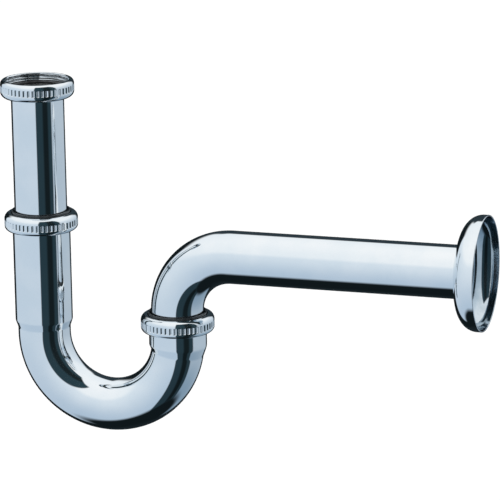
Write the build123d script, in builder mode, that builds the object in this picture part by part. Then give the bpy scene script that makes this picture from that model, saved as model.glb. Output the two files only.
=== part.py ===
"""A chromed-brass P trap for a hand basin, as separate pieces in one shared frame.

The inlet tail pipe hangs from the basin waste on a union nut, and slides into the long leg of a
U-shaped bend. The short leg takes the wall tube, which turns through an elbow and runs to the wall
behind a domed rosette. Each sliding joint is a rubber cone, a collared slip ring and a round nut.

Millimetres, +Z up, +X towards the wall. The origin is on the inlet axis, at the inner end of the
union nut's thread, where the end of the basin waste stops.
"""
import os
from math import cos, radians, sin

from build123d import *

# ---------------------------------------------------------------- driving dimensions
TUBE_R = 16.0                # outside of the tail pipe, the bend and the wall tube
TUBE_WALL = 1.0
SOCKET_CLEARANCE = 0.5       # radial gap between a tube and the socket it slides into
SOCKET_WALL = 1.0

LEG_SPACING = 86.0           # inlet axis to outlet axis
INLET_DROP = 82.0            # rim of the union nut down to the top of the inlet slip nut
LEG_STEP = 58.0              # inlet slip nut's top down to the outlet slip nut's top
BEND_DROP = 17.5             # outlet slip nut's top down to where the bend starts to curve
ELBOW_R = 35.5               # centre-line radius of the wall tube's elbow
ELBOW_STUB = 1.5             # straight tube between the outlet slip nut and the elbow
WALL_REACH = 191.0           # outlet axis to the wall
TAIL_FOOT_GAP = 21.4         # room under the tail pipe, so that the bend can be raised
WALL_TUBE_FOOT_GAP = 1.0     # the wall tube stops just above the outlet socket's neck

COLLAR_WALL = 0.9            # thread collar, socket to thread crests
SLIP_NUT_WALL = 3.6          # slip nut, thread crests to ribbed band
UNION_NUT_WALL = 3.1         # union nut, whose thread is a little wider
NUT_SHOULDER = 3.7           # shoulder end to the ribbed band
NUT_BAND = 4.2
NUT_MOUTH = 2.9              # ribbed band to the mouth end
NUT_LAND = 2.0               # thickness of the inward shoulder
NUT_RECESS = 1.0             # countersink above the shoulder
NUT_BORE_CLEARANCE = 0.5     # radial gap between the union nut's shoulder and its tube
NUT_LIP_RISE = 1.2           # lip round the recess, outside the socket's radius
NUT_LIP = 0.35               # width of that lip
THREAD_DEPTH = 0.7
THREAD_GAP = 0.3             # male crests stand this far inside the female ones
RELIEF_STEP = 0.3            # the thread relief is this much wider than the thread's crests
MOUTH_CHAMFER = 0.4

RIB_COUNT = 50
RIB_GROOVE = 1.3             # width of each groove between two ribs
RIB_DEPTH = 0.5
RIB_END = 0.2                # plain band left above and below the grooves

GASKET_THICKNESS = 1.5
GASKET_SEAT_GAP = 0.2        # gasket face below the end of the union thread
FLANGE_THICKNESS = 1.5
FLANGE_GAP = 0.3             # flange and gasket inside the union thread's crests
RING_FLANGE = 0.8            # flange of a slip ring, under the nut's shoulder
RING_COLLAR = 1.9            # outside of the slip ring's collar, measured from the tube
RING_COLLAR_RISE = 1.3       # the collar stands this far out of the nut
RING_COLLAR_CLEARANCE = 0.15
RING_FLANGE_GAP = 0.075      # between the flange and the nut's shoulder
RING_EDGE = 0.15             # rounding of the collar's top
RING_GUIDE_CLEARANCE = 0.3   # the ring's bore at its flange
RING_TOP_CLEARANCE = 0.85    # its bore above the flange, wide enough to ride up to the elbow
SEAL_HEAD = 1.7
SEAL_BORE_CLEARANCE = 0.05   # the rubber grips the tube it slides on
SEAL_EDGE_GAP = 0.4          # seals and rings inside the thread relief
CONE_DEPTH = 1.8             # flare at a socket's mouth, and the cone that sits in it
CONE_FLARE = 0.6
CONE_GAP = 0.1
COLLAR_END_GAP = 0.4         # the collar stops this far inside the nut's mouth
NECK_LENGTH = 4.5            # from the end of a socket down to the end of its taper
INLET_NECK_LIFT = 3.7        # straight tube between the inlet leg's taper and the bend
OUTLET_NECK_DROP = 2.3       # the outlet's socket runs this far down past the start of the bend
NECK_ROUND = 4.0             # rounding at both ends of the inlet's taper

ROSETTE_R = 34.5
ROSETTE_BAND = 3.0           # straight rim before the dome starts
ROSETTE_DOME = 11.2          # depth of the dome
ROSETTE_FLAT = 3.4           # flat ring round the crown, before the dome turns down
ROSETTE_WALL = 1.0
ROSETTE_NECK = 1.4           # length of the short neck behind the crown
ROSETTE_NECK_WALL = 1.0
TUBE_PAST_GRIP = 1.2         # the wall tube ends this far inside the rosette
GRIP_THICKNESS = 1.2
GRIP_BORE_CLEARANCE = 0.05
GRIP_FIT = 0.05              # running clearance between the grip ring and the rosette's neck

# ---------------------------------------------------------------- derived places
TUBE_BORE_R = TUBE_R - TUBE_WALL
SOCKET_BORE_R = TUBE_R + SOCKET_CLEARANCE
SOCKET_R = SOCKET_BORE_R + SOCKET_WALL
COLLAR_R = SOCKET_R + COLLAR_WALL
SLIP_THREAD_R = COLLAR_R + THREAD_GAP          # crest radius of the slip nuts' female thread
NUT_R = SLIP_THREAD_R + SLIP_NUT_WALL
UNION_THREAD_R = NUT_R - UNION_NUT_WALL        # crest radius of the union nut's female thread
NUT_HEIGHT = NUT_SHOULDER + NUT_BAND + NUT_MOUTH
NUT_SEAT = NUT_RECESS + NUT_LAND               # shoulder end to the inside face of the shoulder
UNION_BORE_R = TUBE_R + NUT_BORE_CLEARANCE
RING_COLLAR_R = TUBE_R + RING_COLLAR           # the collar goes up through the nut's shoulder
SLIP_BORE_R = RING_COLLAR_R + RING_COLLAR_CLEARANCE

GASKET_TOP = -GASKET_SEAT_GAP
FLANGE_TOP = GASKET_TOP - GASKET_THICKNESS
UNION_SEAT = FLANGE_TOP - FLANGE_THICKNESS     # underside of the flange
UNION_BASE = UNION_SEAT - NUT_SEAT             # shoulder end of the union nut
UNION_RIM = UNION_BASE + NUT_HEIGHT
UNION_RELIEF = -UNION_SEAT                     # relief runs from the shoulder to the origin plane
FLANGE_R = UNION_THREAD_R - FLANGE_GAP

INLET_NUT_TOP = UNION_RIM - INLET_DROP
OUTLET_NUT_TOP = INLET_NUT_TOP - LEG_STEP
BEND_Z = OUTLET_NUT_TOP - BEND_DROP
ARM_Z = OUTLET_NUT_TOP + ELBOW_STUB + ELBOW_R
SOCKET_FACE = NUT_SEAT + RING_FLANGE + SEAL_HEAD       # nut's top down to the socket's face
SLIP_RELIEF = SOCKET_FACE - NUT_SEAT
SEAL_R = SLIP_THREAD_R + RELIEF_STEP - SEAL_EDGE_GAP
COLLAR_LENGTH = NUT_HEIGHT - SOCKET_FACE - COLLAR_END_GAP

BEND_R = LEG_SPACING / 2
INLET_TAPER_END = BEND_Z + INLET_NECK_LIFT
OUTLET_SOCKET_END = BEND_Z - OUTLET_NECK_DROP
TAIL_FOOT = INLET_TAPER_END + NECK_LENGTH + TAIL_FOOT_GAP
WALL_TUBE_FOOT = OUTLET_SOCKET_END + WALL_TUBE_FOOT_GAP
NECK_TURN = (OUTLET_NECK_DROP + NECK_LENGTH) / radians(BEND_R)    # degrees of bend under the neck
WALL_X = LEG_SPACING + WALL_REACH
GRIP_OUTER_R = TUBE_R + GRIP_BORE_CLEARANCE + GRIP_THICKNESS
NECK_BORE_R = GRIP_OUTER_R + GRIP_FIT
ROSETTE_CROWN_R = NECK_BORE_R + ROSETTE_NECK_WALL
ROSETTE_FLAT_R = ROSETTE_CROWN_R + ROSETTE_FLAT
CROWN_X = WALL_X - ROSETTE_BAND - ROSETTE_DOME
GRIP_END_X = CROWN_X + ROSETTE_WALL
TUBE_END_X = GRIP_END_X + TUBE_PAST_GRIP


def upright(axis_x, z=0.0):
    """Plane of a turned profile: local x is the radius and local y the height."""
    return Plane(origin=(axis_x, 0, z), x_dir=(1, 0, 0), z_dir=(0, -1, 0))


def leg_axis(axis_x):
    """The vertical axis of one leg."""
    return Axis((axis_x, 0, 0), (0, 0, 1))


def save(piece, label):
    """Label a finished piece and write it as its own STEP file."""
    piece.part.label = label
    export_step(piece.part, f"parts/{label}.step")


def nut_profile(thread_r, relief_length, bore_r):
    """Half section of a round nut, from its shoulder end at height 0 to its mouth."""
    band_top = NUT_SHOULDER + NUT_BAND
    lip_r = SOCKET_R + NUT_LIP_RISE
    relief_r = thread_r + RELIEF_STEP
    relief_end = NUT_SEAT + relief_length
    mouth_r = thread_r + THREAD_DEPTH
    with BuildSketch() as profile:
        with BuildLine():
            EllipticalCenterArc((lip_r, NUT_SHOULDER), NUT_R - lip_r, NUT_SHOULDER, 270, arc_size=90)
            Line((NUT_R, NUT_SHOULDER), (NUT_R, band_top))
            EllipticalCenterArc((mouth_r, band_top), NUT_R - mouth_r, NUT_MOUTH, 0, arc_size=90)
            Polyline(
                (mouth_r, NUT_HEIGHT),
                (thread_r + MOUTH_CHAMFER, NUT_HEIGHT),
                (thread_r, NUT_HEIGHT - MOUTH_CHAMFER),
                (thread_r, relief_end),
                (relief_r, relief_end),
                (relief_r, NUT_SEAT),
                (bore_r, NUT_SEAT),
                (bore_r, NUT_RECESS),
                (lip_r - NUT_LIP, 0),
                (lip_r, 0),
            )
        make_face()
    return profile.sketch


def make_nut(axis_x, shoulder_z, up, thread_r, relief_length, bore_r):
    """A round nut with a ribbed band. The mouth faces along up, +1 or -1, from the shoulder end."""
    section = nut_profile(thread_r, relief_length, bore_r)
    with BuildPart() as nut:
        with BuildSketch(upright(axis_x, shoulder_z)):
            add(section if up > 0 else mirror(section, about=Plane.XZ))
        revolve(axis=leg_axis(axis_x))
        band_mid = shoulder_z + up * (NUT_SHOULDER + NUT_BAND / 2)
        with Locations((axis_x, 0, band_mid)):
            with PolarLocations(NUT_R, RIB_COUNT):
                Box(2 * RIB_DEPTH, RIB_GROOVE, NUT_BAND - 2 * RIB_END, mode=Mode.SUBTRACT)
    return nut


def make_ring(axis_x, bottom_z, inner_r, outer_r, thickness, edge=0.0):
    """A flat ring on a leg's axis, with its outer edges broken if edge is given."""
    with BuildPart() as ring:
        with BuildSketch(Plane.XY.offset(bottom_z)):
            with Locations((axis_x, 0)):
                Circle(outer_r)
                Circle(inner_r, mode=Mode.SUBTRACT)
        extrude(amount=thickness)
        if edge:
            chamfer(ring.edges().filter_by(GeomType.CIRCLE).group_by(SortBy.RADIUS)[-1], edge)
    return ring


def make_slip_ring(axis_x, nut_top):
    """The ring between a slip nut and its seal: a flange, and a collar up through the nut."""
    flange_top = nut_top - NUT_SEAT
    shoulder_gap_z = flange_top - RING_FLANGE_GAP
    flange_foot = flange_top - RING_FLANGE
    collar_top = nut_top + RING_COLLAR_RISE
    guide_r = TUBE_R + RING_GUIDE_CLEARANCE
    top_bore_r = TUBE_R + RING_TOP_CLEARANCE
    with BuildPart() as ring:
        with BuildSketch(upright(axis_x)):
            with BuildLine():
                Polyline(
                    (guide_r, flange_foot),
                    (SEAL_R, flange_foot),
                    (SEAL_R, shoulder_gap_z),
                    (RING_COLLAR_R, shoulder_gap_z),
                    (RING_COLLAR_R, collar_top),
                    (top_bore_r, collar_top),
                    (top_bore_r, flange_top),
                    (guide_r, flange_top),
                    close=True,
                )
            make_face()
        revolve(axis=leg_axis(axis_x))
        fillet(ring.edges().filter_by(GeomType.CIRCLE).group_by(Axis.Z)[-1], RING_EDGE)
    return ring


def make_cone_seal(axis_x, nut_top):
    """A rubber seal: a flat head on the socket's face and a cone in the flare of its mouth."""
    head_top = nut_top - NUT_SEAT - RING_FLANGE
    face = nut_top - SOCKET_FACE
    inner_r = TUBE_R + SEAL_BORE_CLEARANCE
    cone_top_r = SOCKET_BORE_R + CONE_FLARE - CONE_GAP
    cone_tip_r = SOCKET_BORE_R - CONE_GAP
    with BuildPart() as seal:
        with BuildSketch(upright(axis_x)):
            with BuildLine():
                Polyline(
                    (inner_r, head_top),
                    (SEAL_R, head_top),
                    (SEAL_R, face),
                    (cone_top_r, face),
                    (cone_tip_r, face - CONE_DEPTH),
                    (inner_r, face - CONE_DEPTH),
                    close=True,
                )
            make_face()
        revolve(axis=leg_axis(axis_x))
    return seal


def make_tail_pipe():
    """The straight inlet tube with the flange that hangs in the union nut."""
    with BuildPart() as tail_pipe:
        with BuildSketch(upright(0)):
            with BuildLine():
                Polyline(
                    (TUBE_BORE_R, FLANGE_TOP),
                    (FLANGE_R, FLANGE_TOP),
                    (FLANGE_R, UNION_SEAT),
                    (TUBE_R, UNION_SEAT),
                    (TUBE_R, TAIL_FOOT),
                    (TUBE_BORE_R, TAIL_FOOT),
                    close=True,
                )
            make_face()
        revolve(axis=leg_axis(0))
        rims = tail_pipe.edges().filter_by(GeomType.CIRCLE)
        chamfer(rims.group_by(Axis.Z)[0], TUBE_WALL / 4)
        fillet(rims.group_by(SortBy.RADIUS)[-1], FLANGE_THICKNESS / 4)
    return tail_pipe


def inlet_socket_profile():
    """Half section of the long leg: flared mouth, socket, rounded neck and the start of the tube."""
    socket_face = INLET_NUT_TOP - SOCKET_FACE
    neck_top = INLET_TAPER_END + NECK_LENGTH
    with BuildSketch() as profile:
        with BuildLine():
            Polyline(
                (SOCKET_BORE_R + CONE_FLARE, socket_face),
                (SOCKET_R, socket_face),
                (SOCKET_R, neck_top),
                (TUBE_R, INLET_TAPER_END),
                (TUBE_R, BEND_Z),
                (TUBE_BORE_R, BEND_Z),
                (TUBE_BORE_R, INLET_TAPER_END),
                (SOCKET_BORE_R, neck_top),
                (SOCKET_BORE_R, socket_face - CONE_DEPTH),
                close=True,
            )
        make_face()
        corner_rows = profile.vertices().group_by(Axis.Y)
        fillet(corner_rows[1] + corner_rows[2], NECK_ROUND)
    return profile.sketch


def outlet_socket_profile():
    """Half section of the short leg: flared mouth and straight socket."""
    socket_face = OUTLET_NUT_TOP - SOCKET_FACE
    with BuildSketch() as profile:
        with BuildLine():
            Polyline(
                (SOCKET_BORE_R + CONE_FLARE, socket_face),
                (SOCKET_R, socket_face),
                (SOCKET_R, OUTLET_SOCKET_END),
                (SOCKET_BORE_R, OUTLET_SOCKET_END),
                (SOCKET_BORE_R, socket_face - CONE_DEPTH),
                close=True,
            )
        make_face()
    return profile.sketch


def make_trap_bend():
    """The U-shaped water seal: a half turn of tube between two sockets of different length."""
    turn = radians(NECK_TURN)
    neck_foot = Plane(
        origin=(BEND_R + BEND_R * cos(turn), 0, BEND_Z - BEND_R * sin(turn)),
        x_dir=(0, 1, 0),
        z_dir=(sin(turn), 0, cos(turn)),
    )
    neck_top = Plane(
        origin=(LEG_SPACING, 0, OUTLET_SOCKET_END), x_dir=(0, 1, 0), z_dir=(0, 0, 1)
    )
    with BuildPart() as trap_bend:
        for wide_r, narrow_r, mode in (
            (SOCKET_R, TUBE_R, Mode.ADD),
            (SOCKET_BORE_R, TUBE_BORE_R, Mode.SUBTRACT),
        ):
            with BuildSketch(neck_foot):
                Circle(narrow_r)
            with BuildSketch(neck_top):
                Circle(wide_r)
            loft(mode=mode)
        with BuildSketch(upright(0)):
            add(inlet_socket_profile())
        revolve(axis=leg_axis(0))
        with BuildSketch(upright(LEG_SPACING)):
            add(outlet_socket_profile())
        revolve(axis=leg_axis(LEG_SPACING))
        with BuildSketch(Plane.XY.offset(BEND_Z)):
            Circle(TUBE_R)
            Circle(TUBE_BORE_R, mode=Mode.SUBTRACT)
        bend_axis = Axis((BEND_R, 0, BEND_Z), (0, -1, 0))
        revolve(axis=bend_axis, revolution_arc=180 - NECK_TURN)
    return trap_bend


def make_wall_tube():
    """The outlet tube: a short foot in the socket, the elbow and the straight run to the wall."""
    elbow_foot = ARM_Z - ELBOW_R
    elbow_x = LEG_SPACING + ELBOW_R
    with BuildPart() as wall_tube:
        with BuildSketch(Plane.XY.offset(WALL_TUBE_FOOT)):
            with Locations((LEG_SPACING, 0)):
                Circle(TUBE_R)
                Circle(TUBE_BORE_R, mode=Mode.SUBTRACT)
        extrude(amount=elbow_foot - WALL_TUBE_FOOT)
        with BuildSketch(Plane.XY.offset(elbow_foot)):
            with Locations((LEG_SPACING, 0)):
                Circle(TUBE_R)
                Circle(TUBE_BORE_R, mode=Mode.SUBTRACT)
        revolve(axis=Axis((elbow_x, 0, elbow_foot), (0, 1, 0)), revolution_arc=90)
        with BuildSketch(Plane(origin=(elbow_x, 0, ARM_Z), x_dir=(0, 1, 0), z_dir=(1, 0, 0))):
            Circle(TUBE_R)
            Circle(TUBE_BORE_R, mode=Mode.SUBTRACT)
        extrude(amount=TUBE_END_X - elbow_x)
        chamfer(wall_tube.edges().group_by(Axis.X)[-1], TUBE_WALL / 4)
    return wall_tube


def make_rosette():
    """The domed cover plate: rim on the wall, elliptical dome, flat crown and a short neck."""
    dome_x = WALL_X - ROSETTE_BAND
    dome_rise = ROSETTE_R - ROSETTE_FLAT_R
    inner_r = ROSETTE_R - ROSETTE_WALL
    inner_dome = ROSETTE_DOME - ROSETTE_WALL
    inner_rise = inner_r - ROSETTE_FLAT_R
    with BuildPart() as wall_rosette:
        with BuildSketch(Plane(origin=(0, 0, ARM_Z), x_dir=(1, 0, 0), z_dir=(0, -1, 0))):
            with BuildLine():
                Line((WALL_X, ROSETTE_R), (dome_x, ROSETTE_R))
                EllipticalCenterArc(
                    (dome_x, ROSETTE_FLAT_R), ROSETTE_DOME, dome_rise, 90, arc_size=90
                )
                Polyline(
                    (CROWN_X, ROSETTE_FLAT_R),
                    (CROWN_X, ROSETTE_CROWN_R),
                    (CROWN_X - ROSETTE_NECK, ROSETTE_CROWN_R),
                    (CROWN_X - ROSETTE_NECK, NECK_BORE_R),
                    (GRIP_END_X, NECK_BORE_R),
                    (GRIP_END_X, ROSETTE_FLAT_R),
                )
                EllipticalCenterArc(
                    (dome_x, ROSETTE_FLAT_R), inner_dome, inner_rise, 90, arc_size=90
                )
                Polyline((dome_x, inner_r), (WALL_X, inner_r), (WALL_X, ROSETTE_R))
            make_face()
        revolve(axis=Axis((0, 0, ARM_Z), (1, 0, 0)))
    return wall_rosette


def make_grip_ring():
    """The rubber ring inside the rosette's neck that grips the wall tube."""
    neck_x = CROWN_X - ROSETTE_NECK
    with BuildPart() as grip_ring:
        with BuildSketch(Plane(origin=(neck_x, 0, ARM_Z), x_dir=(0, 1, 0), z_dir=(1, 0, 0))):
            Circle(GRIP_OUTER_R)
            Circle(TUBE_R + GRIP_BORE_CLEARANCE, mode=Mode.SUBTRACT)
        extrude(amount=GRIP_END_X - neck_x)
    return grip_ring


def build_inlet_union():
    """The union to the basin waste: nut, flat gasket and the flanged tail pipe."""
    nut = make_nut(0, UNION_BASE, 1, UNION_THREAD_R, UNION_RELIEF, UNION_BORE_R)
    save(nut, "inlet_union_nut")
    save(make_ring(0, FLANGE_TOP, TUBE_BORE_R, FLANGE_R, GASKET_THICKNESS), "inlet_gasket")
    save(make_tail_pipe(), "tail_pipe")


def build_slip_joint(side, axis_x, nut_top):
    """One sliding joint: nut, slip ring and cone seal, and the thread collar on the socket."""
    collar_z = nut_top - SOCKET_FACE - COLLAR_LENGTH
    nut = make_nut(axis_x, nut_top, -1, SLIP_THREAD_R, SLIP_RELIEF, SLIP_BORE_R)
    save(nut, f"{side}_slip_nut")
    save(make_slip_ring(axis_x, nut_top), f"{side}_slip_ring")
    save(make_cone_seal(axis_x, nut_top), f"{side}_cone_seal")
    collar = make_ring(axis_x, collar_z, SOCKET_R, COLLAR_R, COLLAR_LENGTH, MOUTH_CHAMFER)
    save(collar, f"{side}_thread_collar")


os.makedirs("parts", exist_ok=True)
build_inlet_union()
build_slip_joint("inlet", 0, INLET_NUT_TOP)
save(make_trap_bend(), "trap_bend")
build_slip_joint("outlet", LEG_SPACING, OUTLET_NUT_TOP)
save(make_wall_tube(), "wall_tube")
save(make_rosette(), "wall_rosette")
save(make_grip_ring(), "rosette_grip_ring")
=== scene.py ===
"""Chromed P trap for a hand basin: the finished look of every piece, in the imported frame.

Metres, +Z up along the inlet pipe, +X towards the wall. Each sub-assembly is a class that holds its
sizes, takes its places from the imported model, and builds smooth meshes that stand for the plain ones.
"""
from __future__ import annotations

import logging
import math
from dataclasses import dataclass, field
from enum import Enum
from typing import Callable, Sequence

import bmesh
import bpy
import numpy as np
from mathutils import Matrix, Vector

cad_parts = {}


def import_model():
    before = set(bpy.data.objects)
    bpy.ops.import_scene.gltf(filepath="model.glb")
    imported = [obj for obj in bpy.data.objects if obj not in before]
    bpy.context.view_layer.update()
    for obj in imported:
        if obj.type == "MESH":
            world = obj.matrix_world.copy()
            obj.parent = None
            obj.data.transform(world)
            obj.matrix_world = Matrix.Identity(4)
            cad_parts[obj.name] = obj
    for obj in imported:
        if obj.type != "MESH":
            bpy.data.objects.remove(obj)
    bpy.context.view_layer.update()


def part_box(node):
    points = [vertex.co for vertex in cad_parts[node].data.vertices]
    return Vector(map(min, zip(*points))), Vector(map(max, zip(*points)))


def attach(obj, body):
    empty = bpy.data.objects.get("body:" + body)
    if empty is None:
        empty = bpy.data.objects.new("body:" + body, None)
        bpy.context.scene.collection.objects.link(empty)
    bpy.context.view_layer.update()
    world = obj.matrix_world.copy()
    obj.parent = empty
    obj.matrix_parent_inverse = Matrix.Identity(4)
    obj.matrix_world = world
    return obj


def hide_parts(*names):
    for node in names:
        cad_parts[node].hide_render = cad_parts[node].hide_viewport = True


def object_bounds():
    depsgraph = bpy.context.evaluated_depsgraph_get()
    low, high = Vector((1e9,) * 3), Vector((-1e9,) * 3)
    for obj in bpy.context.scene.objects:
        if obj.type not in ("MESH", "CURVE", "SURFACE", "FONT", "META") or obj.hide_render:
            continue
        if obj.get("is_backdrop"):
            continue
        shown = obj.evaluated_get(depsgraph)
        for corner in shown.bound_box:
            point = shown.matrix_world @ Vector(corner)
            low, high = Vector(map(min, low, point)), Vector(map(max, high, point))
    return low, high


log = logging.getLogger("p_trap")

MM = 0.001
THREAD_STEP = 0.22 * MM    # longest stretch between two rows on a threaded or ribbed piece
BEND_STEP = 1.2 * MM       # the same on a bent tube
SAME = 1e-6                # two places closer than this are one
SAME_RADIUS = 0.02 * MM    # a relief acts only where the plain radius is this near its own

Colour = tuple[float, float, float]
Row = tuple[float, float, float, float]
Socket = bpy.types.NodeSocket
Relief = Callable[[np.ndarray, np.ndarray, np.ndarray], np.ndarray]


def smooth_step(low: float, high: float, value: np.ndarray) -> np.ndarray:
    """Ease from 0 at low to 1 at high.

    Args:
        low: Where the ramp starts.
        high: Where the ramp ends.
        value: The numbers to ease.

    Returns:
        The eased numbers, between 0 and 1.
    """
    share = np.clip((value - low) / (high - low), 0.0, 1.0)
    return share * share * (3.0 - 2.0 * share)


# ------------------------------------------------------------------ outlines and centrelines


@dataclass(frozen=True)
class Corner:
    """A corner of an outline, at a distance along the axis and a radius, rounded by a small arc."""

    along: float
    radius: float
    rounding: float = 0.0


@dataclass(frozen=True)
class Sweep:
    """Part of an ellipse in an outline, given by its centre, half axes, start angle and sweep."""

    along: float
    radius: float
    half_along: float
    half_radius: float
    start: float
    sweep: float
    steps: int = 20

    def rows(self) -> list[Row]:
        """Sample the arc.

        Returns:
            Along, radius, and the unit tangent's two parts, for each sample.
        """
        found = []
        turn = math.copysign(1.0, self.sweep)
        for index in range(self.steps + 1):
            angle = math.radians(self.start + self.sweep * index / self.steps)
            along = self.along + self.half_along * math.cos(angle)
            radius = self.radius + self.half_radius * math.sin(angle)
            slope_along = -self.half_along * math.sin(angle) * turn
            slope_radius = self.half_radius * math.cos(angle) * turn
            length = math.hypot(slope_along, slope_radius)
            found.append((along, radius, slope_along / length, slope_radius / length))
        return found


@dataclass
class Outline:
    """A closed half section. It runs along the outside first, and comes back along the inside."""

    parts: Sequence[Corner | Sweep]
    step: float = 1.0

    def _entry(self, part: Corner | Sweep) -> Vector:
        """The first point of a part."""
        if isinstance(part, Corner):
            return Vector((part.along, part.radius))
        return Vector(part.rows()[0][:2])

    def _exit(self, part: Corner | Sweep) -> Vector:
        """The last point of a part."""
        if isinstance(part, Corner):
            return Vector((part.along, part.radius))
        return Vector(part.rows()[-1][:2])

    def _corner_rows(self, index: int) -> list[Row]:
        """Round one corner between its neighbours.

        Args:
            index: Which part of the outline the corner is.

        Returns:
            The rows of the little arc, or none where the outline runs straight through.
        """
        corner = self.parts[index]
        here = self._entry(corner)
        before = (here - self._exit(self.parts[index - 1])).normalized()
        after = (self._entry(self.parts[(index + 1) % len(self.parts)]) - here).normalized()
        turn = math.atan2(before.x * after.y - before.y * after.x, before.dot(after))
        reach = corner.rounding * math.tan(abs(turn) / 2)
        side = Vector((-before.y, before.x)) * math.copysign(corner.rounding, turn)
        centre = here - before * reach + side
        steps = max(3, int(abs(math.degrees(turn)) / 9))
        rows = []
        for count in range(steps + 1):
            angle = turn * count / steps
            spun = Matrix.Rotation(angle, 2)
            point = centre + spun @ (-side)
            tangent = spun @ before
            rows.append((point.x, point.y, tangent.x, tangent.y))
        return rows

    def rows(self) -> np.ndarray:
        """Sample the whole closed outline.

        Returns:
            One line for each row: along, radius, and the unit tangent's two parts.
        """
        pieces = []
        for index, part in enumerate(self.parts):
            if isinstance(part, Sweep):
                pieces.append(part.rows())
            else:
                pieces.append(self._corner_rows(index))
        rows: list[Row] = []
        for piece, following in zip(pieces, pieces[1:] + pieces[:1]):
            rows.extend(piece)
            start, end = Vector(piece[-1][:2]), Vector(following[0][:2])
            run = end - start
            if run.length < 1e-7:
                rows.pop()
                continue
            tangent = run.normalized()
            cuts = max(1, math.ceil(run.length / self.step))
            for count in range(1, cuts):
                point = start + run * (count / cuts)
                rows.append((point.x, point.y, tangent.x, tangent.y))
        return np.array(rows)


def sleeve(
    length: float, outer: float, bore: float, edge: float, bore_edge: float, step: float = 1.0
) -> Outline:
    """Draw the half section of a plain ring or tube.

    Args:
        length: How long it is.
        outer: Its outside radius.
        bore: Its inside radius.
        edge: Rounding of the outside edges.
        bore_edge: Rounding of the inside edges.
        step: The longest straight stretch between two rows.

    Returns:
        The closed outline.
    """
    return Outline(
        (
            Corner(0.0, outer, edge),
            Corner(length, outer, edge),
            Corner(length, bore, bore_edge),
            Corner(0.0, bore, bore_edge),
        ),
        step,
    )


@dataclass(frozen=True)
class Run:
    """One stretch of a centreline: straight, or bent by so many degrees at a radius."""

    length: float
    bend: float = 0.0

    @property
    def curvature(self) -> float:
        """Signed curvature, towards the local normal."""
        return math.radians(self.bend) / self.length


@dataclass
class Centreline:
    """A plane curve in the symmetry plane, made of straight and bent runs."""

    start: Vector
    heading: Vector
    runs: Sequence[Run]

    @property
    def length(self) -> float:
        """Length of all the runs together."""
        return sum(run.length for run in self.runs)

    def frame(self, along: float) -> tuple[Vector, Vector, Vector, float]:
        """Find the local frame at a distance along the curve.

        Args:
            along: Distance from the start.

        Returns:
            The point, the tangent, the in-plane normal and the curvature there.
        """
        across = Vector((0.0, 1.0, 0.0))
        point, tangent = self.start.copy(), self.heading.normalized()
        left = along
        for run in self.runs:
            normal = across.cross(tangent)
            part = min(left, run.length) if run is not self.runs[-1] else left
            bend = run.curvature
            if abs(bend) < 1e-9:
                point = point + tangent * part
            else:
                angle = bend * part
                point = point + tangent * (math.sin(angle) / bend)
                point = point + normal * ((1 - math.cos(angle)) / bend)
                tangent = tangent * math.cos(angle) + normal * math.sin(angle)
            left -= part
            if left <= 1e-9:
                return point, tangent, across.cross(tangent), bend
        return point, tangent, across.cross(tangent), 0.0


def straight(start: Vector, heading: Vector, length: float) -> Centreline:
    """A centreline of one straight run."""
    return Centreline(start, heading, (Run(length),))


# ------------------------------------------------------------------ surface relief


@dataclass(frozen=True)
class Thread:
    """A right-hand thread between two places along a piece's axis."""

    start: float
    end: float
    pitch: float = 2.2 * MM
    depth: float = 0.7 * MM
    radius: float = 0.0
    male: bool = False

    def __call__(self, along: np.ndarray, radius: np.ndarray, angle: np.ndarray) -> np.ndarray:
        """How far the surface stands off its plain radius.

        Args:
            along: Distances along the axis.
            radius: Plain radii.
            angle: Angles round the axis.

        Returns:
            The offsets, outwards in a nut and inwards on a male thread.
        """
        wave = 0.5 - 0.5 * np.cos(2 * math.pi * along / self.pitch - angle)
        flank = smooth_step(0.18, 0.82, wave)
        fade = smooth_step(self.start, self.start + 0.8 * MM, along)
        fade = fade * (1 - smooth_step(self.end - 0.8 * MM, self.end, along))
        near = (np.abs(radius - self.radius) < SAME_RADIUS).astype(float)
        return flank * fade * near * (-self.depth if self.male else self.depth)


@dataclass(frozen=True)
class Ribs:
    """Grip ribs round a nut: rounded grooves cut into a band."""

    count: int
    start: float
    end: float
    radius: float
    groove: float = 1.8 * MM
    depth: float = 0.65 * MM

    def __call__(self, along: np.ndarray, radius: np.ndarray, angle: np.ndarray) -> np.ndarray:
        """How far the grooves sink below the band.

        Args:
            along: Distances along the axis.
            radius: Plain radii.
            angle: Angles round the axis.

        Returns:
            The offsets, zero or negative.
        """
        pitch = 2 * math.pi * self.radius / self.count
        place = np.mod(angle * self.count / (2 * math.pi), 1.0) - 0.5
        away = np.abs(place) * pitch
        groove = 0.5 + 0.5 * np.cos(2 * math.pi * np.minimum(away / self.groove, 0.5))
        fade = smooth_step(self.start, self.start + 0.5 * MM, along)
        fade = fade * (1 - smooth_step(self.end - 0.5 * MM, self.end, along))
        near = (np.abs(radius - self.radius) < SAME_RADIUS).astype(float)
        return -self.depth * groove * fade * near


@dataclass(frozen=True)
class Reliefs:
    """Several reliefs added together."""

    each: Sequence[Relief]

    def __call__(self, along: np.ndarray, radius: np.ndarray, angle: np.ndarray) -> np.ndarray:
        """The sum of all the offsets."""
        return sum(relief(along, radius, angle) for relief in self.each)


# ------------------------------------------------------------------ finishes


class Plating(Enum):
    """Which polish a chromed surface has."""

    TUBE = "mirror_chrome_tube"
    NUT = "mirror_chrome_nut"
    ROSETTE = "mirror_chrome_rosette"


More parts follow.
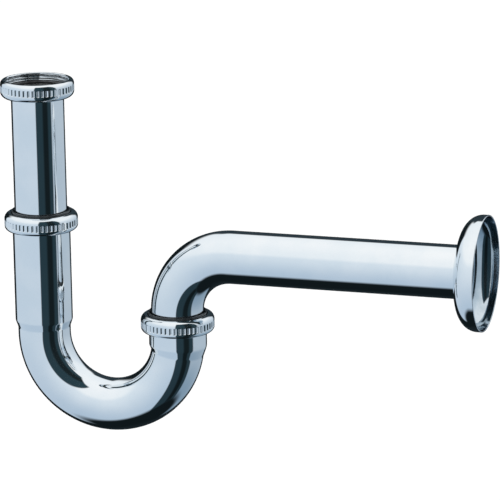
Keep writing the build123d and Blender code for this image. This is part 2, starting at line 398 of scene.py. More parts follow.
class Graph:
    """A short way to add shader nodes and link them."""

    def __init__(self, tree: bpy.types.NodeTree) -> None:
        """Start from an empty tree."""
        self.tree = tree
        tree.nodes.clear()

    def add(self, kind: str, **settings: object) -> bpy.types.Node:
        """Add a node and set its properties.

        Args:
            kind: The node's type name.
            **settings: Properties to set on it.

        Returns:
            The new node.
        """
        node = self.tree.nodes.new(kind)
        for name, value in settings.items():
            setattr(node, name, value)
        return node

    def link(self, source: Socket, target: Socket) -> None:
        """Link two sockets."""
        self.tree.links.new(source, target)

    def math(self, operation: str, first: object, second: object = None) -> Socket:
        """Add a math node.

        Args:
            operation: The operation's name.
            first: A number or a socket.
            second: A number, a socket or nothing.

        Returns:
            The node's output.
        """
        node = self.add("ShaderNodeMath", operation=operation)
        for socket, value in zip(node.inputs, (first, second)):
            if isinstance(value, Socket):
                self.link(value, socket)
            elif value is not None:
                socket.default_value = value
        return node.outputs[0]

    def ramp(
        self, value: Socket, low: float, high: float, start: float, end: float
    ) -> Socket:
        """Ease a value from one range to another.

        Args:
            value: The input.
            low: The input where the ramp starts.
            high: The input where it ends.
            start: The output at low.
            end: The output at high.

        Returns:
            The eased output.
        """
        node = self.add("ShaderNodeMapRange", interpolation_type="SMOOTHSTEP")
        self.link(value, node.inputs["Value"])
        for name, number in (
            ("From Min", low),
            ("From Max", high),
            ("To Min", start),
            ("To Max", end),
        ):
            node.inputs[name].default_value = number
        return node.outputs["Result"]

    def noise(
        self,
        vector: Socket,
        scale: float,
        detail: float = 3.0,
        stretch: tuple[float, float, float] = (1.0, 1.0, 1.0),
    ) -> Socket:
        """Add noise over stretched coordinates.

        Args:
            vector: The coordinates.
            scale: Noise cells to the metre.
            detail: Octaves of detail.
            stretch: How much each axis is multiplied by first.

        Returns:
            The noise's factor.
        """
        mapping = self.add("ShaderNodeMapping")
        mapping.inputs["Scale"].default_value = stretch
        self.link(vector, mapping.inputs["Vector"])
        node = self.add("ShaderNodeTexNoise")
        node.inputs["Scale"].default_value = scale
        node.inputs["Detail"].default_value = detail
        self.link(mapping.outputs["Vector"], node.inputs["Vector"])
        return node.outputs["Fac"]

    def blend(
        self,
        factor: Socket,
        first: Colour | Socket,
        second: Colour | Socket,
    ) -> Socket:
        """Mix two colours.

        Args:
            factor: How much of the second colour.
            first: A colour or a socket.
            second: A colour or a socket.

        Returns:
            The mixed colour.
        """
        node = self.add("ShaderNodeMix", data_type="RGBA")
        self.link(factor, node.inputs[0])
        for socket, value in ((node.inputs[6], first), (node.inputs[7], second)):
            if isinstance(value, Socket):
                self.link(value, socket)
            else:
                socket.default_value = (*value, 1.0)
        return node.outputs[2]

    def bump(
        self, height: Socket, strength: float, distance: float
    ) -> Socket:
        """Turn a height into a normal.

        Args:
            height: The height field.
            strength: How strong the bump is.
            distance: How far the height reaches, in metres.

        Returns:
            The bent normal.
        """
        node = self.add("ShaderNodeBump")
        node.inputs["Strength"].default_value = strength
        node.inputs["Distance"].default_value = distance
        self.link(height, node.inputs["Height"])
        return node.outputs["Normal"]


def new_material(
    name: str,
) -> tuple[bpy.types.Material, Graph, bpy.types.Node, Socket]:
    """Make a node material with only a shader and its output.

    Args:
        name: The material's name.

    Returns:
        The material, its graph, the shader node, and the piece's own coordinates.
    """
    material = bpy.data.materials.new(name)
    material.use_nodes = True
    graph = Graph(material.node_tree)
    shader = graph.add("ShaderNodeBsdfPrincipled")
    output = graph.add("ShaderNodeOutputMaterial")
    graph.link(shader.outputs["BSDF"], output.inputs["Surface"])
    return material, graph, shader, graph.add("ShaderNodeTexCoord").outputs["Object"]


@dataclass(frozen=True)
class MirrorChrome:
    """Bright chrome plating over polished brass, with a faint haze and a trace of waviness."""

    plating: Plating
    deep: Colour = (0.80, 0.85, 0.885)
    pale: Colour = (0.86, 0.89, 0.91)
    smoothest: float = 0.025
    haziest: float = 0.06
    wave: float = 0.02

    def material(self) -> bpy.types.Material:
        """Build the plating's material.

        Returns:
            The material.
        """
        material, graph, shader, place = new_material(self.plating.value)
        cloud = graph.noise(place, 38.0, 4.0)
        tint = graph.ramp(cloud, 0.35, 0.65, 0.0, 1.0)
        graph.link(graph.blend(tint, self.deep, self.pale), shader.inputs["Base Color"])
        haze = graph.noise(place, 240.0, 5.0, (1.0, 1.0, 0.35))
        rough = graph.ramp(haze, 0.3, 0.75, self.smoothest, self.haziest)
        graph.link(rough, shader.inputs["Roughness"])
        swell = graph.noise(place, 55.0, 1.0)
        graph.link(graph.bump(swell, self.wave, 0.4 * MM), shader.inputs["Normal"])
        shader.inputs["Metallic"].default_value = 1.0
        return material


@dataclass(frozen=True)
class Mottled:
    """A finish that drifts between two shades and two polishes, over a fine grain."""

    name: str
    first: Colour
    second: Colour
    patch_scale: float
    first_rough: float
    second_rough: float
    grain_scale: float
    bump: float
    bump_height: float
    patch_detail: float = 5.0
    patch_low: float = 0.35
    patch_high: float = 0.7
    grain_detail: float = 2.0
    grain_stretch: tuple[float, float, float] = (1.0, 1.0, 1.0)
    metal: float = 1.0
    gloss: float = 0.5

    def material(self) -> bpy.types.Material:
        """Build the finish's material.

        Returns:
            The material.
        """
        material, graph, shader, place = new_material(self.name)
        cloud = graph.noise(place, self.patch_scale, self.patch_detail)
        patch = graph.ramp(cloud, self.patch_low, self.patch_high, 0.0, 1.0)
        graph.link(graph.blend(patch, self.first, self.second), shader.inputs["Base Color"])
        rough = graph.ramp(patch, 0.0, 1.0, self.first_rough, self.second_rough)
        graph.link(rough, shader.inputs["Roughness"])
        grain = graph.noise(place, self.grain_scale, self.grain_detail, self.grain_stretch)
        graph.link(graph.bump(grain, self.bump, self.bump_height), shader.inputs["Normal"])
        shader.inputs["Metallic"].default_value = self.metal
        shader.inputs["Specular IOR Level"].default_value = self.gloss
        return material


@dataclass(frozen=True)
class BorePlating(Mottled):
    """The thin, dull plating inside the tubes, greyer where it is bare."""

    name: str = "dull_bore_plating"
    first: Colour = (0.30, 0.30, 0.29)
    second: Colour = (0.48, 0.50, 0.52)
    patch_scale: float = 90.0
    patch_detail: float = 6.0
    first_rough: float = 0.42
    second_rough: float = 0.24
    grain_scale: float = 1500.0
    grain_detail: float = 3.0
    grain_stretch: tuple[float, float, float] = (1.0, 1.0, 0.1)
    bump: float = 0.15
    bump_height: float = 0.1 * MM


@dataclass(frozen=True)
class RosettePaintedShade(Mottled):
    """The inside of the rosette: plating over unpolished sheet, coloured a darker blue-grey as painted
    shade in the hollow, and patchy at random.
    """

    name: str = "painted_shade_hollow"
    # Painted shade: these darker blue-grey colours stand for the shade inside the dish, not for the
    # plating's own colour.
    first: Colour = (0.46, 0.54, 0.60)
    second: Colour = (0.66, 0.73, 0.78)
    patch_scale: float = 60.0
    first_rough: float = 0.10
    second_rough: float = 0.05
    grain_scale: float = 700.0
    grain_stretch: tuple[float, float, float] = (6.0, 0.1, 0.1)
    bump: float = 0.1
    bump_height: float = 0.05 * MM


@dataclass(frozen=True)
class MouldedRubber(Mottled):
    """Black moulded rubber, satin, with a fine grain and a little bloom."""

    name: str = "moulded_rubber"
    first: Colour = (0.012, 0.012, 0.013)
    second: Colour = (0.045, 0.045, 0.047)
    patch_scale: float = 220.0
    patch_high: float = 0.75
    first_rough: float = 0.42
    second_rough: float = 0.62
    grain_scale: float = 5200.0
    bump: float = 0.35
    bump_height: float = 0.05 * MM
    metal: float = 0.0
    gloss: float = 0.4


@dataclass(frozen=True)
class MouldedNylon(Mottled):
    """Black moulded nylon, semi-matt, with a fine skin."""

    name: str = "moulded_nylon"
    first: Colour = (0.010, 0.013, 0.015)
    second: Colour = (0.030, 0.037, 0.041)
    patch_scale: float = 300.0
    patch_detail: float = 4.0
    patch_low: float = 0.3
    first_rough: float = 0.22
    second_rough: float = 0.36
    grain_scale: float = 3600.0
    bump: float = 0.2
    bump_height: float = 0.03 * MM
    metal: float = 0.0


@dataclass(frozen=True)
class TurnedBrass:
    """Unplated brass straight from the lathe, with fine tool marks round the axis."""

    name: str = "turned_brass"
    dark: Colour = (0.55, 0.38, 0.15)
    bright: Colour = (0.80, 0.62, 0.33)

    def material(self) -> bpy.types.Material:
        """Build the brass's material.

        Returns:
            The material.
        """
        material, graph, shader, place = new_material(self.name)
        tarnish = graph.ramp(graph.noise(place, 160.0, 5.0), 0.3, 0.7, 0.0, 1.0)
        graph.link(graph.blend(tarnish, self.dark, self.bright), shader.inputs["Base Color"])
        marks = graph.noise(place, 900.0, 2.0, (0.05, 0.05, 6.0))
        graph.link(graph.ramp(marks, 0.2, 0.8, 0.22, 0.4), shader.inputs["Roughness"])
        graph.link(graph.bump(marks, 0.3, 0.05 * MM), shader.inputs["Normal"])
        shader.inputs["Metallic"].default_value = 1.0
        return material


@dataclass
class Finishes:
    """Every material of the trap, made once."""

    tube: bpy.types.Material = field(init=False)
    nut: bpy.types.Material = field(init=False)
    rosette: bpy.types.Material = field(init=False)
    bore: bpy.types.Material = field(init=False)
    brass: bpy.types.Material = field(init=False)
    rubber: bpy.types.Material = field(init=False)
    nylon: bpy.types.Material = field(init=False)
    hollow: bpy.types.Material = field(init=False)

    def __post_init__(self) -> None:
        """Make the materials."""
        self.tube = MirrorChrome(Plating.TUBE).material()
        self.nut = MirrorChrome(Plating.NUT, haziest=0.075, wave=0.012).material()
        self.rosette = MirrorChrome(Plating.ROSETTE, haziest=0.07, wave=0.03).material()
        self.bore = BorePlating().material()
        self.brass = TurnedBrass().material()
        self.rubber = MouldedRubber().material()
        self.nylon = MouldedNylon().material()
        self.hollow = RosettePaintedShade().material()


# ------------------------------------------------------------------ the mesh of a turned or bent piece


@dataclass
class Shell:
    """An outline carried along a centreline and closed round it, as one smooth watertight mesh."""

    name: str
    centreline: Centreline
    outline: Outline
    segments: int = 160
    relief: Relief | None = None

    def _grid(self) -> tuple[np.ndarray, np.ndarray, np.ndarray]:
        """Work out every point and its normal.

        Returns:
            The points, the normals, and the outline's rows.
        """
        rows = self.outline.rows()
        along, radius, slope_along, slope_radius = (rows[:, k][:, None] for k in range(4))
        angle = (np.arange(self.segments) * 2 * math.pi / self.segments)[None, :]
        offset = np.zeros((len(rows), self.segments))
        rise, swing = offset, offset
        if self.relief is not None:
            small = 1e-6
            offset = self.relief(along, radius, angle)
            ahead = self.relief(along + small * slope_along, radius, angle)
            behind = self.relief(along - small * slope_along, radius, angle)
            rise = (ahead - behind) / (2 * small)
            turned = self.relief(along, radius, angle + small)
            back = self.relief(along, radius, angle - small)
            swing = (turned - back) / (2 * small)
        frames = [self.centreline.frame(float(value)) for value in rows[:, 0]]
        point = np.array([frame[0] for frame in frames])[:, None, :]
        tangent = np.array([frame[1] for frame in frames])[:, None, :]
        normal = np.array([frame[2] for frame in frames])[:, None, :]
        bend = np.array([frame[3] for frame in frames])[:, None]
        across = np.array([0.0, 1.0, 0.0])[None, None, :]
        cosine, sine = np.cos(angle)[..., None], np.sin(angle)[..., None]
        outward = cosine * normal + sine * across
        sideways = cosine * across - sine * normal
        full = radius + offset
        points = point + full[..., None] * outward
        stretch = slope_along * (1 - bend * full * np.cos(angle))
        facing = full[..., None] * (
            stretch[..., None] * outward - (slope_radius + rise)[..., None] * tangent
        )
        facing = facing - (swing * stretch)[..., None] * sideways
        facing = facing / np.linalg.norm(facing, axis=2, keepdims=True)
        return points, facing, rows

    def build(
        self, material: bpy.types.Material, inside: bpy.types.Material | None = None
    ) -> bpy.types.Object:
        """Make the object.

        Args:
            material: The finish.
            inside: Another finish for the faces past the far end, which are the inner ones.

        Returns:
            The new object, linked to the scene.
        """
        points, facing, rows = self._grid()
        count, around = points.shape[:2]
        far_end = int(np.flatnonzero(rows[:, 0] > rows[:, 0].max() - SAME)[-1])
        shape = bmesh.new()
        flat = [shape.verts.new(point) for point in points.reshape(-1, 3)]
        for row in range(count):
            after = (row + 1) % count
            inner = row >= far_end and after != 0
            for step in range(around):
                beside = (step + 1) % around
                face = shape.faces.new(
                    (
                        flat[row * around + step],
                        flat[row * around + beside],
                        flat[after * around + beside],
                        flat[after * around + step],
                    )
                )
                face.smooth = True
                face.material_index = int(inner and inside is not None)
        mesh = bpy.data.meshes.new(self.name)
        shape.to_mesh(mesh)
        shape.free()
        mesh.normals_split_custom_set_from_vertices(facing.reshape(-1, 3))
        mesh.materials.append(material)
        if inside is not None:
            mesh.materials.append(inside)
        piece = bpy.data.objects.new(self.name, mesh)
        bpy.context.scene.collection.objects.link(piece)
        return piece


def install(piece: bpy.types.Object, node: str, body: str) -> None:
    """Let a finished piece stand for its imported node.

    Args:
        piece: The new piece.
        node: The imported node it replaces.
        body: The body it moves with.
    """
    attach(piece, body)
    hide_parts(node)
    log.info("%s: %d faces, stands for %s", piece.name, len(piece.data.polygons), node)


UP, DOWN, WALLWARD = Vector((0, 0, 1)), Vector((0, 0, -1)), Vector((1, 0, 0))


@dataclass
class Nut:
    """A round nut with a lipped shoulder, a ribbed band and a threaded mouth."""

    thread_radius: float
    relief_length: float
    outer_radius: float = 22.3 * MM
    shoulder: float = 3.7 * MM
    band: float = 4.2 * MM
    mouth: float = 2.9 * MM
    seat: float = 3.0 * MM
    recess: float = 1.0 * MM
    bore: float = 16.5 * MM
    lip_radius: float = 18.7 * MM
    lip: float = 0.35 * MM
    thread_depth: float = 0.7 * MM
    relief_step: float = 0.3 * MM
    chamfer: float = 0.4 * MM
    rib_count: int = 50

    def outline(self) -> Outline:
        """Draw the nut's half section, from its shoulder end to its mouth.

        Returns:
            The closed outline.
        """
        band_end = self.shoulder + self.band
        height = band_end + self.mouth
        mouth_radius = self.thread_radius + self.thread_depth
        relief_radius = self.thread_radius + self.relief_step
        relief_end = self.seat + self.relief_length
        return Outline(
            (
                Sweep(
                    self.shoulder,
                    self.lip_radius,
                    self.shoulder,
                    self.outer_radius - self.lip_radius,
                    180,
                    -90,
                ),
                Sweep(
                    band_end, mouth_radius, self.mouth, self.outer_radius - mouth_radius, 90, -90
                ),
                Corner(height, self.thread_radius + self.chamfer, 0.1 * MM),
                Corner(height - self.chamfer, self.thread_radius, 0.1 * MM),
                Corner(relief_end, self.thread_radius, 0.08 * MM),
                Corner(relief_end, relief_radius, 0.08 * MM),
                Corner(self.seat, relief_radius, 0.15 * MM),
                Corner(self.seat, self.bore, 0.15 * MM),
                Corner(self.recess, self.bore, 0.15 * MM),
                Corner(0.0, self.lip_radius - self.lip, 0.15 * MM),
            ),
            step=THREAD_STEP,
        )

    def build(
        self, name: str, node: str, axis: float, opens_up: bool, material: bpy.types.Material
    ) -> bpy.types.Object:
        """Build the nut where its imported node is.

        Args:
            name: The piece's name.
            node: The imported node.
            axis: The leg's place along X.
            opens_up: True if its mouth faces up.
            material: The finish.

        Returns:
            The nut.
        """
        low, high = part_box(node)
        start = Vector((axis, 0, low.z if opens_up else high.z))
        height = self.shoulder + self.band + self.mouth
        relief = Reliefs(
            (
                Ribs(
                    self.rib_count,
                    self.shoulder,
                    self.shoulder + self.band,
                    self.outer_radius,
                ),
                Thread(
                    self.seat + self.relief_length,
                    height,
                    depth=self.thread_depth,
                    radius=self.thread_radius,
                ),
            )
        )
        line = straight(start, UP if opens_up else DOWN, height)
        return Shell(name, line, self.outline(), 600, relief).build(material)


@dataclass
class InletUnion:
    """The union to the basin waste: nut, flat gasket and the flanged tail pipe."""

    finishes: Finishes
    nut: Nut = field(default_factory=lambda: Nut(19.2 * MM, 3.2 * MM))
    tube_radius: float = 16.0 * MM
    bore: float = 15.0 * MM
    flange_radius: float = 18.9 * MM
    flange: float = 1.5 * MM

    def build_nut(self) -> None:
        """Make the open nut that screws up onto the waste."""
        nut = self.nut.build("union_nut", "inlet_union_nut", 0.0, True, self.finishes.nut)
        install(nut, "inlet_union_nut", "union_nut")

    def build_gasket(self) -> None:
        """Make the flat gasket, with softly moulded edges."""
        low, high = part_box("inlet_gasket")
        thick = high.z - low.z
        edge = 0.3 * MM
        outline = sleeve(thick, self.flange_radius, self.bore, edge, edge)
        line = straight(Vector((0, 0, low.z)), UP, thick)
        gasket = Shell("flat_gasket", line, outline).build(self.finishes.rubber)
        install(gasket, "inlet_gasket", "tail")

    def build_tail(self) -> None:
        """Make the straight pipe and its flange."""
        low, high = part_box("tail_pipe")
        length = high.z - low.z
        outline = Outline(
            (
                Corner(0.0, self.tube_radius, 0.3 * MM),
                Corner(length - self.flange, self.tube_radius, 0.3 * MM),
                Corner(length - self.flange, self.flange_radius, 0.35 * MM),
                Corner(length, self.flange_radius, 0.35 * MM),
                Corner(length, self.bore, 0.3 * MM),
                Corner(0.0, self.bore, 0.3 * MM),
            ),
            step=6 * MM,
        )
        line = straight(Vector((0, 0, low.z)), UP, length)
        tail = Shell("tail_tube", line, outline).build(self.finishes.tube, self.finishes.bore)
        install(tail, "tail_pipe", "tail")

    def build(self) -> None:
        """Make all three pieces."""
        self.build_nut()
        self.build_gasket()
        self.build_tail()


class Side(Enum):
    """Which leg of the trap a slip joint closes."""

    INLET = "inlet"
    OUTLET = "outlet"


@dataclass
class SlipJoint:
    """One sliding joint: nut, slip ring, rubber cone and the thread collar on the socket."""

    side: Side
    finishes: Finishes
    nut: Nut = field(default_factory=lambda: Nut(18.7 * MM, 2.5 * MM, bore=18.05 * MM))
    socket_radius: float = 17.5 * MM
    crest_radius: float = 18.4 * MM
    ring_bore: float = 16.3 * MM
    ring_top_bore: float = 16.85 * MM
    ring_collar: float = 17.9 * MM
    ring_flange: float = 0.8 * MM
    ring_gap: float = 0.075 * MM
    seal_bore: float = 16.05 * MM
    seal_radius: float = 18.6 * MM
    seal_head: float = 1.7 * MM
    cone_top: float = 17.0 * MM
    cone_tip: float = 16.4 * MM

    def _named(self, part: str) -> str:
        """The name of one of this joint's parts."""
        return f"{self.side.value}_{part}"

    @property
    def _axis(self) -> float:
        """The leg's place along X."""
        low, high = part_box(self._named("thread_collar"))
        return (low.x + high.x) / 2

    def _line(self, node: str) -> Centreline:
        """A line down the leg's axis from a node's top to its bottom."""
        low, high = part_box(node)
        return straight(Vector((self._axis, 0, high.z)), DOWN, high.z - low.z)

    def build_nut(self) -> None:
        """Make the slip nut, mouth down."""
        node = self._named("slip_nut")
        nut = self.nut.build(self._named("nut"), node, self._axis, False, self.finishes.nut)
        install(nut, node, self._named("nut"))

    def build_ring(self) -> None:
        """Make the collared nylon ring that lets the nut turn on the rubber."""
        node = self._named("slip_ring")
        line = self._line(node)
        flange = line.length - self.ring_flange
        edge = 0.15 * MM
        outline = Outline(
            (
                Corner(0.0, self.ring_collar, 2 * edge),
                Corner(flange + self.ring_gap, self.ring_collar, edge),
                Corner(flange + self.ring_gap, self.seal_radius, edge),
                Corner(line.length, self.seal_radius, edge),
                Corner(line.length, self.ring_bore, edge),
                Corner(flange, self.ring_bore, edge),
                Corner(flange, self.ring_top_bore, edge),
                Corner(0.0, self.ring_top_bore, 2 * edge),
            )
        )
        ring = Shell(self._named("ring"), line, outline).build(self.finishes.nylon)
        install(ring, node, self._named("ring"))

    def build_seal(self) -> None:
        """Make the rubber cone seal, its head up and its cone down in the socket."""
        node = self._named("cone_seal")
        line = self._line(node)
        edge = 0.25 * MM
        outline = Outline(
            (
                Corner(0.0, self.seal_radius, edge),
                Corner(self.seal_head, self.seal_radius, edge),
                Corner(self.seal_head, self.cone_top, 0.05 * MM),
                Corner(line.length, self.cone_tip, 0.08 * MM),
                Corner(line.length, self.seal_bore, 0.08 * MM),
                Corner(0.0, self.seal_bore, edge),
            )
        )
        seal = Shell(self._named("seal"), line, outline).build(self.finishes.rubber)
        install(seal, node, self._named("seal"))

    def build_collar(self) -> None:
        """Make the thread collar, with a real helical thread."""
        node = self._named("thread_collar")
        line = self._line(node)
        outline = sleeve(
            line.length,
            self.crest_radius,
            self.socket_radius,
            0.3 * MM,
            0.05 * MM,
            THREAD_STEP,
        )
        thread = Thread(0.0, line.length, depth=0.55 * MM, radius=self.crest_radius, male=True)
        shell = Shell(self._named("collar"), line, outline, 240, thread)
        install(shell.build(self.finishes.brass), node, "trap")

    def build(self) -> None:
        """Make all four pieces."""
        self.build_nut()
        self.build_ring()
        self.build_seal()
        self.build_collar()


@dataclass
class TrapBend:
    """The U-shaped water seal: a half turn of tube between two sockets of different length."""

    finishes: Finishes
    tube_radius: float = 16.0 * MM
    wall: float = 1.0 * MM
    socket_radius: float = 17.5 * MM
    flare: float = 0.6 * MM
    flare_depth: float = 1.8 * MM
    neck: float = 4.5 * MM
    inlet_lift: float = 3.7 * MM
    outlet_drop: float = 2.3 * MM
    neck_round: float = 4.0 * MM

    def outline(self, inlet_run: float, outlet_run: float, length: float) -> Outline:
        """Draw the wall of the whole bend, from the inlet's mouth to the outlet's.

        Args:
            inlet_run: Length of the inlet leg above the half turn.
            outlet_run: Length of the outlet leg above the half turn.
            length: Length of the whole centreline.

        Returns:
            The closed outline.
        """
        first_end = inlet_run - self.inlet_lift
        first_start = first_end - self.neck
        last_start = length - outlet_run - self.outlet_drop
        last_end = last_start - self.neck
        socket_bore = self.socket_radius - self.wall
        tube_bore = self.tube_radius - self.wall
        curve = self.neck_round
        lip = 0.12 * MM
        return Outline(
            (
                Corner(0.0, self.socket_radius, lip),
                Corner(first_start, self.socket_radius, curve),
                Corner(first_end, self.tube_radius, curve),
                Corner(last_end, self.tube_radius, curve),
                Corner(last_start, self.socket_radius, curve),
                Corner(length, self.socket_radius, lip),
                Corner(length, socket_bore + self.flare, lip),
                Corner(length - self.flare_depth, socket_bore, 0.5 * MM),
                Corner(last_start, socket_bore, curve),
                Corner(last_end, tube_bore, curve),
                Corner(first_end, tube_bore, curve),
                Corner(first_start, socket_bore, curve),
                Corner(self.flare_depth, socket_bore, 0.5 * MM),
                Corner(0.0, socket_bore + self.flare, lip),
            ),
            step=BEND_STEP,
        )

    def build(self) -> None:
        """Make the bend between its two mouths."""
        low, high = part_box("trap_bend")
        outlet_low, outlet_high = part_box("outlet_thread_collar")
        spacing = (outlet_low.x + outlet_high.x) / 2
        spring = low.z + spacing / 2 + self.tube_radius
        inlet_run = high.z - spring
        outlet_run = outlet_high.z - spring
        half_turn = Run(math.pi * spacing / 2, -180)
        line = Centreline(
            Vector((0, 0, high.z)), DOWN, (Run(inlet_run), half_turn, Run(outlet_run))
        )
        outline = self.outline(inlet_run, outlet_run, line.length)
        bend = Shell("u_bend", line, outline).build(self.finishes.tube, self.finishes.bore)
        install(bend, "trap_bend", "trap")


@dataclass
class WallTube:
    """The outlet tube: a short foot, the elbow and the straight run to the wall."""

    finishes: Finishes
    tube_radius: float = 16.0 * MM
    wall: float = 1.0 * MM
    elbow_radius: float = 35.5 * MM

    def build(self) -> None:
        """Make the tube from its foot in the socket to its end behind the rosette."""
        low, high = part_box("wall_tube")
        axis = low.x + self.tube_radius
        arm = high.z - self.tube_radius
        foot = arm - self.elbow_radius - low.z
        reach = high.x - axis - self.elbow_radius
        quarter = Run(math.pi / 2 * self.elbow_radius, 90)
        line = Centreline(Vector((axis, 0, low.z)), UP, (Run(foot), quarter, Run(reach)))
        edge = 0.25 * MM
        bore = self.tube_radius - self.wall
        outline = sleeve(line.length, self.tube_radius, bore, edge, edge, BEND_STEP)
        tube = Shell("outlet_tube", line, outline).build(self.finishes.tube, self.finishes.bore)
        install(tube, "wall_tube", "outlet_tube")


@dataclass
class WallRosette:
    """The domed cover plate and the rubber ring that grips the tube inside its neck."""

    finishes: Finishes
    rim_radius: float = 34.5 * MM
    crown_radius: float = 18.3 * MM
    wall: float = 1.0 * MM
    band: float = 3.0 * MM
    dome: float = 11.2 * MM
    neck: float = 1.4 * MM
    flat: float = 3.4 * MM
    grip_bore: float = 16.05 * MM
    grip_radius: float = 17.25 * MM

    def outline(self) -> Outline:
        """Draw the half section from the neck to the rim.

        Returns:
            The closed outline.
        """
        dome_end = self.neck + self.dome
        length = dome_end + self.band
        inner = self.rim_radius - self.wall
        neck_bore = self.crown_radius - self.wall
        foot = self.crown_radius + self.flat
        return Outline(
            (
                Corner(0.0, self.crown_radius, 0.3 * MM),
                Corner(self.neck, self.crown_radius, 0.5 * MM),
                Sweep(dome_end, foot, self.dome, self.rim_radius - foot, 180, -90, 60),
                Corner(length, self.rim_radius, 0.35 * MM),
                Corner(length, inner, 0.35 * MM),
                Sweep(
                    dome_end,
                    foot,
                    self.dome - self.wall,
                    inner - foot,
                    90,
                    90,
                    60,
                ),
                Corner(self.neck + self.wall, neck_bore, 0.2 * MM),
                Corner(0.0, neck_bore, 0.2 * MM),
            ),
            step=0.8 * MM,
        )

    def _line(self, node: str) -> Centreline:
        """A line along the arm's axis through a node."""
        low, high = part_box(node)
        middle = (low.z + high.z) / 2
        return straight(Vector((low.x, 0, middle)), WALLWARD, high.x - low.x)

    def build_plate(self) -> None:
        """Make the domed plate."""
        shell = Shell("rosette", self._line("wall_rosette"), self.outline(), 240)
        # The dish's inner faces take the hollow finish, whose darker colour is painted shade.
        plate = shell.build(self.finishes.rosette, self.finishes.hollow)
        install(plate, "wall_rosette", "rosette")

    def build_grip(self) -> None:
        """Make the grip ring."""
        line = self._line("rosette_grip_ring")
        edge = 0.25 * MM
        outline = sleeve(line.length, self.grip_radius, self.grip_bore, edge, edge)
        grip = Shell("grip_ring", line, outline).build(self.finishes.rubber)
        install(grip, "rosette_grip_ring", "rosette_grip")

    def build(self) -> None:
        """Make both pieces."""
        self.build_plate()
        self.build_grip()


# ------------------------------------------------------------------ studio

UNLIT = (0.006, 0.010, 0.012)
DUSK = (0.030, 0.045, 0.055)


@dataclass(frozen=True)
class Panel:
    """A soft light panel or a dark flag, by its edges in degrees as seen from the object.

    Azimuth 0 is where the viewer stands and positive is to the viewer's right.
    """

    left: float
    right: float
    bottom: float
    top: float
    lower: Colour
    upper: Colour
    side_soft: float = 3.0
    end_soft: float = 3.0


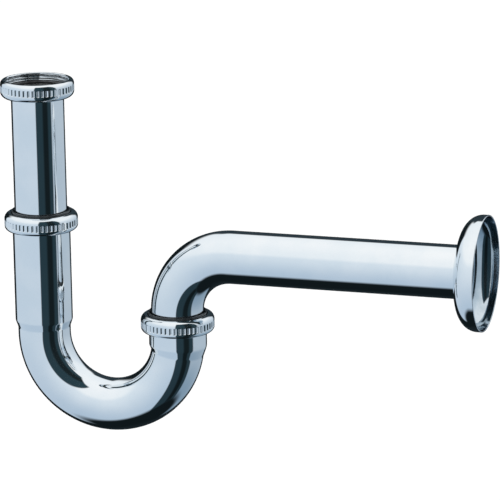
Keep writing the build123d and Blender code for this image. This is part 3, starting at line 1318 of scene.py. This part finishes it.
@dataclass
class Studio:
    """The plain white room: soft panels that the chrome reflects, and the pale floor."""

    yaw: float
    dark: Colour = UNLIT
    fill: float = 1.12
    floor_drop: float = 0.16
    floor_size: float = 14.0
    panels: Sequence[Panel] = (
        Panel(-136, -6, -59, 40, (0.50, 0.61, 0.73), (0.80, 0.87, 0.93), end_soft=6.0),
        Panel(62, 148, -59, 40, (0.24, 0.34, 0.44), (0.84, 0.90, 0.95), 5.0, 6.0),
        Panel(-400, 400, 29, 95, (0.95, 0.98, 1.0), (1.05, 1.05, 1.05), 1.0, 8.0),
        Panel(-6, 62, -62, 64, (0.020, 0.040, 0.052), (0.026, 0.055, 0.070), 2.0, 2.5),
        Panel(23, 46, -62, 64, (0.006, 0.011, 0.013), (0.012, 0.020, 0.023), 5.0, 2.5),
        Panel(156, 400, -90, 41, UNLIT, DUSK, side_soft=5.0),
        Panel(-400, -166, -90, 41, UNLIT, DUSK, side_soft=4.0),
    )

    def light_room(self) -> None:
        """Give the world its panels for reflections, and plain white for everything else."""
        world = bpy.data.worlds.new("white_studio")
        world.use_nodes = True
        bpy.context.scene.world = world
        graph = Graph(world.node_tree)
        direction = graph.add("ShaderNodeTexCoord").outputs["Generated"]
        turned = graph.add("ShaderNodeVectorRotate", rotation_type="Z_AXIS")
        turned.inputs["Angle"].default_value = -self.yaw
        graph.link(direction, turned.inputs["Vector"])
        split = graph.add("ShaderNodeSeparateXYZ")
        graph.link(turned.outputs["Vector"], split.inputs["Vector"])
        towards = graph.math("MULTIPLY", split.outputs["Y"], -1.0)
        azimuth = graph.math("DEGREES", graph.math("ARCTAN2", split.outputs["X"], towards))
        elevation = graph.math("DEGREES", graph.math("ARCSINE", split.outputs["Z"]))
        colour: object = self.dark
        for panel in self.panels:
            colour = self._lay_panel(graph, panel, azimuth, elevation, colour)
        reflected = graph.add("ShaderNodeBackground")
        graph.link(colour, reflected.inputs["Color"])
        plain = graph.add("ShaderNodeBackground")
        plain.inputs["Color"].default_value = (1.0, 1.0, 1.0, 1.0)
        plain.inputs["Strength"].default_value = self.fill
        path = graph.add("ShaderNodeLightPath")
        mix = graph.add("ShaderNodeMixShader")
        graph.link(path.outputs["Is Glossy Ray"], mix.inputs["Fac"])
        graph.link(plain.outputs["Background"], mix.inputs[1])
        graph.link(reflected.outputs["Background"], mix.inputs[2])
        output = graph.add("ShaderNodeOutputWorld")
        graph.link(mix.outputs["Shader"], output.inputs["Surface"])

    def _lay_panel(
        self,
        graph: Graph,
        panel: Panel,
        azimuth: Socket,
        elevation: Socket,
        under: object,
    ) -> Socket:
        """Lay one panel over the colours so far.

        Args:
            graph: The world's graph.
            panel: The panel.
            azimuth: Azimuth of the ray, in degrees.
            elevation: Elevation of the ray, in degrees.
            under: The colours so far.

        Returns:
            The colours with the panel.
        """
        side, end = panel.side_soft, panel.end_soft
        mask = graph.math(
            "MULTIPLY",
            graph.ramp(azimuth, panel.left - side, panel.left + side, 0, 1),
            graph.ramp(azimuth, panel.right - side, panel.right + side, 1, 0),
        )
        mask = graph.math(
            "MULTIPLY", mask, graph.ramp(elevation, panel.bottom - end, panel.bottom + end, 0, 1)
        )
        mask = graph.math(
            "MULTIPLY", mask, graph.ramp(elevation, panel.top - end, panel.top + end, 1, 0)
        )
        height = graph.ramp(elevation, panel.bottom, panel.top, 0, 1)
        shade = graph.blend(height, panel.lower, panel.upper)
        return graph.blend(mask, under, shade)

    def lay_floor(self) -> None:
        """Lay the pale floor under the trap."""
        low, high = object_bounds()
        shape = bmesh.new()
        bmesh.ops.create_grid(shape, x_segments=8, y_segments=8, size=self.floor_size / 2)
        mesh = bpy.data.meshes.new("floor")
        shape.to_mesh(mesh)
        shape.free()
        floor = bpy.data.objects.new("floor", mesh)
        middle = (low + high) / 2
        floor.location = (middle.x, middle.y, low.z - self.floor_drop)
        bpy.context.scene.collection.objects.link(floor)
        material, graph, shader, place = new_material("pale_floor")
        cloud = graph.noise(place, 3.0, 4.0)
        tone = graph.blend(cloud, (0.93, 0.93, 0.93), (0.96, 0.96, 0.96))
        graph.link(tone, shader.inputs["Base Color"])
        graph.link(graph.ramp(cloud, 0.0, 1.0, 0.7, 0.9), shader.inputs["Roughness"])
        shader.inputs["Specular IOR Level"].default_value = 0.0
        mesh.materials.append(material)
        floor.visible_glossy = False
        floor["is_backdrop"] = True

    def build(self) -> None:
        """Light the room and lay its floor."""
        self.light_room()
        self.lay_floor()
        log.info("studio: %d panels and a floor", len(self.panels))


@dataclass
class Viewpoint:
    """The camera: where it stands and how it is turned, in radians."""

    place: tuple[float, float, float] = (0.73796, -1.91588, 0.43438)
    yaw: float = 0.3061
    pitch: float = 0.2568
    roll: float = -0.0156
    focal: float = 250.85

    def build(self) -> None:
        """Make the camera and look through it."""
        data = bpy.data.cameras.new("viewpoint")
        data.sensor_width = 36.0
        data.lens = self.focal
        data.clip_start, data.clip_end = 0.05, 60.0
        camera = bpy.data.objects.new("viewpoint", data)
        turn = Matrix.Rotation(self.yaw, 4, "Z") @ Matrix.Rotation(
            math.pi / 2 - self.pitch, 4, "X"
        )
        turn = turn @ Matrix.Rotation(self.roll, 4, "Z")
        camera.matrix_world = Matrix.Translation(self.place) @ turn
        bpy.context.scene.collection.objects.link(camera)
        bpy.context.scene.camera = camera
        bpy.context.scene.view_settings.view_transform = "Standard"
        log.info("camera: %.0f mm lens", self.focal)


def main() -> None:
    """Load the frame, build every piece in order, and log face counts, the lens and the panels."""
    logging.basicConfig(level=logging.INFO, format="%(message)s")
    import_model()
    viewpoint = Viewpoint()
    viewpoint.build()
    finishes = Finishes()
    InletUnion(finishes).build()
    SlipJoint(Side.INLET, finishes).build()
    TrapBend(finishes).build()
    SlipJoint(Side.OUTLET, finishes).build()
    WallTube(finishes).build()
    WallRosette(finishes).build()
    Studio(viewpoint.yaw).build()


if __name__ == "__main__":
    main()
